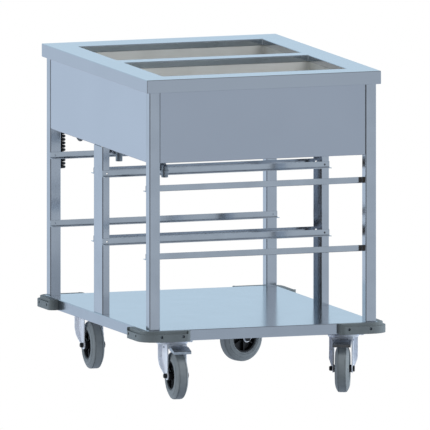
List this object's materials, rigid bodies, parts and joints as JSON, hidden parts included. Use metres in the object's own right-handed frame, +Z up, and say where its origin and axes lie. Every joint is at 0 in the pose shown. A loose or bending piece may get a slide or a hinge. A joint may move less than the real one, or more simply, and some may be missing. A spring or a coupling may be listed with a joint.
{
  "type": "bain marie trolley",
  "caption": "Mobile bain marie with open heated wells in a steel case, runner rails for pans, base shelf, corner bumpers and swivel casters, the front ones braked.",
  "frame": {"origin": "on the floor, under the middle of the base", "axes": "+X to the right along the plain front side, +Y from the front side to the rear with the controls, +Z up"},
  "size_m": [0.688, 0.9565, 0.85],
  "materials": {
    "top_steel": "polished sheet",
    "well_steel": "satin sheet",
    "case_steel": "satin sheet",
    "frame_steel": "satin sheet",
    "rail_steel": "satin sheet",
    "shelf_steel": "polished sheet",
    "bumper_grey": "moulded",
    "zinc": "zinc plated",
    "axle_zinc": "zinc plated, black cap",
    "tyre_grey": "solid rubber",
    "hub_black": "moulded",
    "control_black": "moulded",
    "heater_black": "silicone mat",
    "valve_steel": "cast and turned",
    "handle_black": "dipped",
    "lamp_amber": "clear dome",
    "switch_red": "moulded",
    "cord_black": "smooth jacket"
  },
  "bodies": {
    "trolley": {"worktop": "top_steel", "well_front": "well_steel", "well_rear": "well_steel", "front_panel": "case_steel", "rear_panel": "case_steel", "left_panel": "case_steel", "right_panel": "case_steel", "body_floor": "case_steel", "leg_front_left": "frame_steel", "leg_front_right": "frame_steel", "leg_rear_left": "frame_steel", "leg_rear_right": "frame_steel", "post_left": "frame_steel", "post_right": "frame_steel", "rails_front_upper": "rail_steel", "rails_front_lower": "rail_steel", "rails_rear_upper": "rail_steel", "rails_rear_lower": "rail_steel", "base_shelf": "shelf_steel", "bumper_front_left": "bumper_grey", "bumper_front_right": "bumper_grey", "bumper_rear_left": "bumper_grey", "bumper_rear_right": "bumper_grey", "bumper_screws": "zinc", "caster_plates": "zinc", "caster_bolts": "zinc", "heaters": "heater_black", "control_bodies": "control_black", "drain_valve_front": "valve_steel", "drain_valve_rear": "valve_steel", "pilot_lamps": "lamp_amber", "cable_gland": "control_black", "cord_holders": "control_black", "cord_tail": "cord_black", "curly_cord": "cord_black", "cord_lead": "cord_black", "mains_plug": "control_black"},
    "caster_front_left": {"fork_front_left": "zinc", "axle_front_left": "axle_zinc"},
    "wheel_front_left": {"tyre_front_left": "tyre_grey", "hub_front_left": "hub_black"},
    "caster_front_right": {"fork_front_right": "zinc", "axle_front_right": "axle_zinc"},
    "wheel_front_right": {"tyre_front_right": "tyre_grey", "hub_front_right": "hub_black"},
    "caster_rear_left": {"fork_rear_left": "zinc", "axle_rear_left": "axle_zinc"},
    "wheel_rear_left": {"tyre_rear_left": "tyre_grey", "hub_rear_left": "hub_black"},
    "caster_rear_right": {"fork_rear_right": "zinc", "axle_rear_right": "axle_zinc"},
    "wheel_rear_right": {"tyre_rear_right": "tyre_grey", "hub_rear_right": "hub_black"},
    "pedal_left": {"brake_pedal_left": "zinc"},
    "pedal_right": {"brake_pedal_right": "zinc"},
    "drain_handle_front": {"valve_handle_front": "handle_black"},
    "drain_handle_rear": {"valve_handle_rear": "handle_black"},
    "knob_front": {"knob_front_well": "control_black"},
    "knob_rear": {"knob_rear_well": "control_black"},
    "switch_rocker": {"main_switch": "switch_red"}
  },
  "joints": [
    {"name": "swivel_front_left", "type": "hinge", "parent": "trolley", "child": "caster_front_left", "pos_m": [-0.23, -0.35, 0.145], "axis": [0, 0, 1], "continuous": true},
    {"name": "spin_front_left", "type": "hinge", "parent": "caster_front_left", "child": "wheel_front_left", "pos_m": [-0.2314, -0.38998, 0.0625], "axis": [0.9994, -0.0349, 0], "continuous": true},
    {"name": "swivel_front_right", "type": "hinge", "parent": "trolley", "child": "caster_front_right", "pos_m": [0.246, -0.35, 0.145], "axis": [0, 0, 1], "continuous": true},
    {"name": "spin_front_right", "type": "hinge", "parent": "caster_front_right", "child": "wheel_front_right", "pos_m": [0.23102, -0.38709, 0.0625], "axis": [0.9272, -0.3746, 0], "continuous": true},
    {"name": "swivel_rear_left", "type": "hinge", "parent": "trolley", "child": "caster_rear_left", "pos_m": [-0.22, 0.35, 0.145], "axis": [0, 0, 1], "continuous": true},
    {"name": "spin_rear_left", "type": "hinge", "parent": "caster_rear_left", "child": "wheel_rear_left", "pos_m": [-0.22209, 0.31006, 0.0625], "axis": [0.9986, -0.0523, 0], "continuous": true},
    {"name": "swivel_rear_right", "type": "hinge", "parent": "trolley", "child": "caster_rear_right", "pos_m": [0.236, 0.35, 0.145], "axis": [0, 0, 1], "continuous": true},
    {"name": "spin_rear_right", "type": "hinge", "parent": "caster_rear_right", "child": "wheel_rear_right", "pos_m": [0.19818, 0.33698, 0.0625], "axis": [0.3256, -0.9455, 0], "continuous": true},
    {"name": "brake_left", "type": "hinge", "parent": "caster_front_left", "child": "pedal_left", "pos_m": [-0.23063, -0.36799, 0.136], "axis": [0.9994, -0.0349, 0], "range_deg": [0, 8]},
    {"name": "brake_right", "type": "hinge", "parent": "caster_front_right", "child": "pedal_right", "pos_m": [0.23926, -0.36669, 0.136], "axis": [0.9272, -0.3746, 0], "range_deg": [0, 8]},
    {"name": "drain_front", "type": "hinge", "parent": "trolley", "child": "drain_handle_front", "pos_m": [-0.197, -0.1605, 0.588], "axis": [1, 0, 0], "range_deg": [0, 90]},
    {"name": "drain_rear", "type": "hinge", "parent": "trolley", "child": "drain_handle_rear", "pos_m": [-0.197, 0.2075, 0.588], "axis": [1, 0, 0], "range_deg": [0, 90]},
    {"name": "thermostat_front", "type": "hinge", "parent": "trolley", "child": "knob_front", "pos_m": [0.055, 0.424, 0.745], "axis": [0, 1, 0], "range_deg": [0, 300]},
    {"name": "thermostat_rear", "type": "hinge", "parent": "trolley", "child": "knob_rear", "pos_m": [0.185, 0.424, 0.745], "axis": [0, 1, 0], "range_deg": [0, 300]},
    {"name": "mains_on", "type": "hinge", "parent": "trolley", "child": "switch_rocker", "pos_m": [0.25, 0.4095, 0.745], "axis": [1, 0, 0], "range_deg": [-16, 0]}
  ]
}
